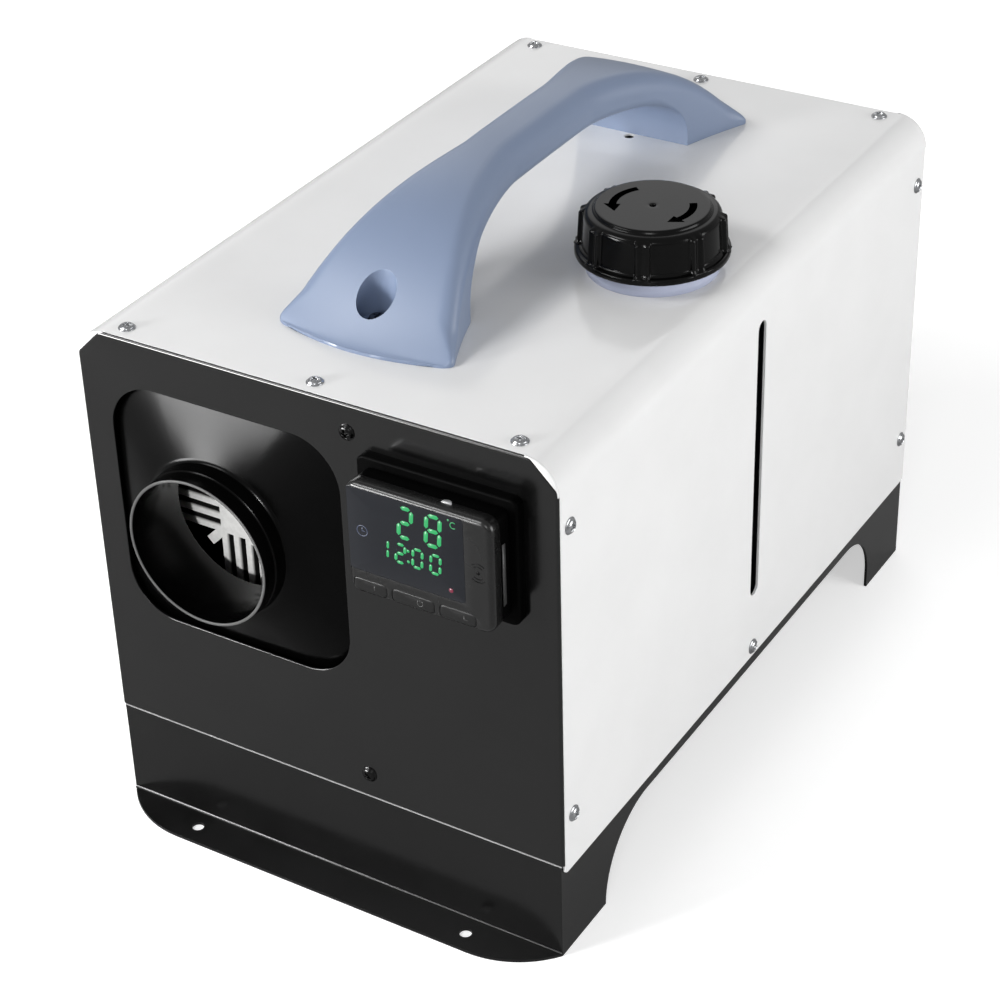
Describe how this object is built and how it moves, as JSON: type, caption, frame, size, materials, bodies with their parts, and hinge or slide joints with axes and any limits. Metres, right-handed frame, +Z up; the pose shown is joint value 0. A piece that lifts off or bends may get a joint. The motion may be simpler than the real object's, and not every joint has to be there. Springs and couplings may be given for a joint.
{
  "type": "diesel air heater",
  "caption": "Portable diesel air heater: sheet-steel cabinet with carrying handle, fuel filler with screw cap, digital controller and round warm-air outlet.",
  "frame": {"origin": "on the floor, at the centre of the four holes in the base flanges", "axes": "+X to the right seen from the front, +Y to the back, +Z up; the warm-air outlet faces -Y"},
  "size_m": [0.2544, 0.422, 0.32],
  "materials": {
    "white_powder_coat": "satin white powder coat",
    "black_powder_coat": "fine matte black powder coat",
    "zinc_steel": "bright zinc plating",
    "black_screw": "black oxide",
    "blue_plastic": "soft matte moulded blue-grey",
    "black_tank": "blow-moulded satin",
    "rubber": "matte",
    "gloss_black": "semi-gloss moulded",
    "hood_black": "satin moulded",
    "cast_aluminium": "as cast",
    "hot_steel": "heat-tinted stainless",
    "steel_pipe": "drawn",
    "module_green": "potted electronics",
    "circuit_board": "solder mask",
    "gasket_fibre": "pressed fibre",
    "controller_black": "fine satin texture",
    "smoked_glass": "smoked gloss window",
    "filter_clear": "moulded filter body",
    "brass": "machined"
  },
  "bodies": {
    "heater": {"cover": "white_powder_coat", "front_panel": "black_powder_coat", "rear_panel": "black_powder_coat", "base_frame": "black_powder_coat", "divider": "black_powder_coat", "cover_screws": "zinc_steel", "cover_nuts": "zinc_steel", "panel_screws": "black_screw", "panel_nuts": "zinc_steel", "handle": "blue_plastic", "handle_screws": "zinc_steel", "handle_nuts": "zinc_steel", "fuel_tank": "black_tank", "tank_pads": "rubber", "tank_strap": "zinc_steel", "filler_collar": "blue_plastic", "outlet_hood": "hood_black", "heater_case_upper": "hood_black", "heater_case_lower": "hood_black", "inlet_duct": "hood_black", "intake_grille": "hood_black", "heat_exchanger": "cast_aluminium", "burner_tube": "hot_steel", "glow_plug": "hot_steel", "blower_housing": "cast_aluminium", "motor": "steel_pipe", "control_module": "module_green", "heater_shelf": "black_powder_coat", "foot_gasket": "gasket_fibre", "heater_studs": "zinc_steel", "heater_nuts": "zinc_steel", "exhaust_pipe": "hot_steel", "air_intake_pipe": "steel_pipe", "controller_front": "controller_black", "controller_back": "controller_black", "controller_cradle": "controller_black", "display_glass": "smoked_glass", "display_board": "circuit_board", "fuel_pump": "steel_pipe", "pump_spring": "zinc_steel", "pump_clip": "rubber", "fuel_filter": "filter_clear", "fuel_nipple": "brass", "hose_clamps": "zinc_steel", "power_gland": "hood_black", "gland_nut": "zinc_steel", "wiring_loom": "rubber", "fuel_hose_tank": "rubber", "fuel_hose_pump": "rubber", "fuel_hose_heater": "rubber"},
    "gasket": {"cap_gasket": "rubber"},
    "breather": {"cap_breather": "gloss_black"},
    "cap": {"cap": "gloss_black"},
    "button_left": {"button_left": "controller_black"},
    "button_power": {"button_power": "controller_black"},
    "button_right": {"button_right": "controller_black"},
    "rotor": {"rotor_shaft": "zinc_steel", "combustion_fan": "hood_black", "warm_air_fan": "hood_black"},
    "plunger": {"pump_plunger": "zinc_steel"}
  },
  "joints": [
    {"name": "cap_lift_off", "type": "slide", "parent": "heater", "child": "gasket", "axis": [0, 0, 1], "range_m": [0, 0.06]},
    {"name": "cap_rise", "type": "slide", "parent": "gasket", "child": "breather", "axis": [0, 0, 1], "range_m": [0, 0.006]},
    {"name": "cap_turn", "type": "hinge", "parent": "breather", "child": "cap", "pos_m": [0.077, -0.0185, 0.28], "axis": [0, 0, 1], "range_deg": [0, 540]},
    {"name": "button_left_press", "type": "slide", "parent": "heater", "child": "button_left", "axis": [0, 1, 0], "range_m": [0, 0.0008], "stiffness_N_per_m": 400},
    {"name": "button_power_press", "type": "slide", "parent": "heater", "child": "button_power", "axis": [0, 1, 0], "range_m": [0, 0.0008], "stiffness_N_per_m": 400},
    {"name": "button_right_press", "type": "slide", "parent": "heater", "child": "button_right", "axis": [0, 1, 0], "range_m": [0, 0.0008], "stiffness_N_per_m": 400},
    {"name": "rotor_spin", "type": "hinge", "parent": "heater", "child": "rotor", "pos_m": [-0.05, 0.1, 0.179], "axis": [0, 1, 0], "continuous": true},
    {"name": "pump_stroke", "type": "slide", "parent": "heater", "child": "plunger", "axis": [0, 0, 1], "range_m": [0, 0.002], "stiffness_N_per_m": 300, "deforming": ["pump_spring"]}
  ],
  "couplings": [
    {"joint": "cap_rise", "follows": "cap_turn", "m_per_rad": 0.00063662}
  ]
}
